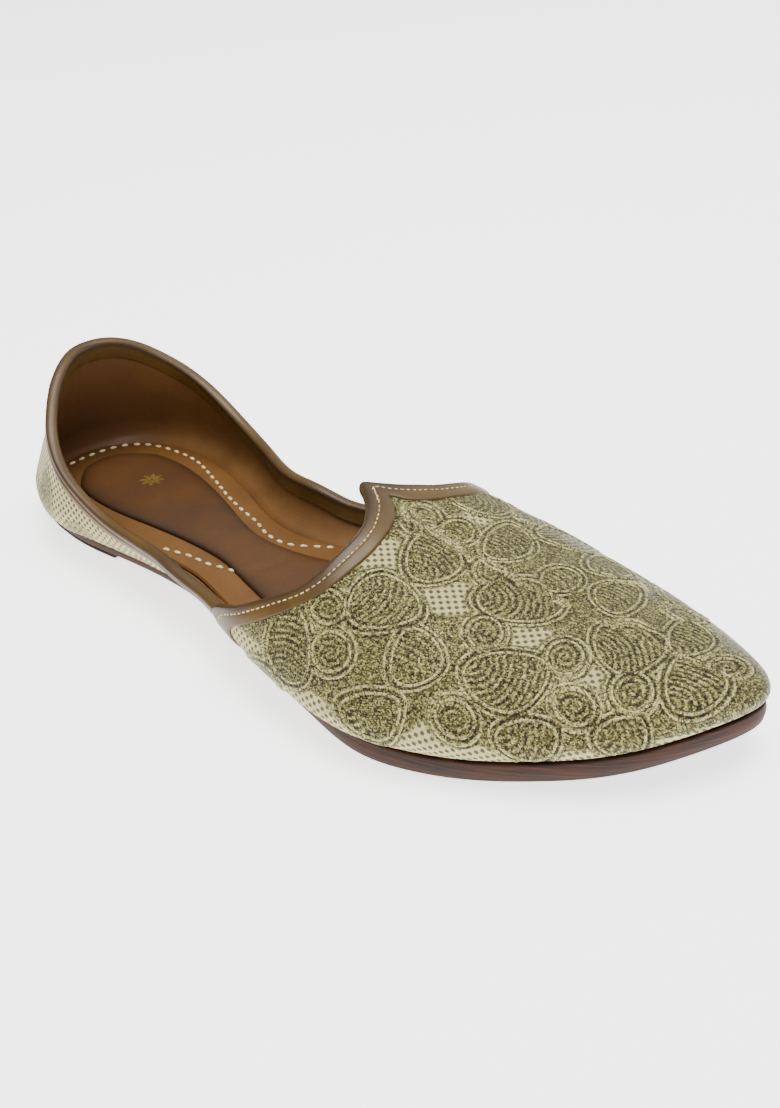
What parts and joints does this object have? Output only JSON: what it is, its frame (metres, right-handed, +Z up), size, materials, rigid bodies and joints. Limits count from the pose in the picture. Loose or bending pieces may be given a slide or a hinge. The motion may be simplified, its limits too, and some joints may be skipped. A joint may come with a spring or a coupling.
{
  "type": "mojari shoe",
  "caption": "Low slip-on leather-soled shoe with a pointed toe, peaked throat, leather bindings and a padded sock.",
  "frame": {"origin": "centre of the shoe's box, on the ground under it", "axes": "+X towards the toe, +Y towards the inner side of the foot, +Z up"},
  "size_m": [0.2886, 0.1088, 0.0591],
  "materials": {
    "sole_leather": "waxed edge",
    "filler": "matte",
    "insole_leather": "smooth",
    "sock_leather": "smooth",
    "brocade": "woven with metallic thread",
    "binding_leather": "glossy",
    "lining_leather": "smooth",
    "embroidery_thread": "metallic thread",
    "stitch_thread": "waxed"
  },
  "bodies": {
    "root": {"heel_lift": "sole_leather", "outsole": "sole_leather", "midsole": "filler", "insole": "insole_leather", "sock_pad": "sock_leather", "upper": "brocade", "vamp_binding": "binding_leather", "topline_binding": "binding_leather"}
  },
  "joints": []
}
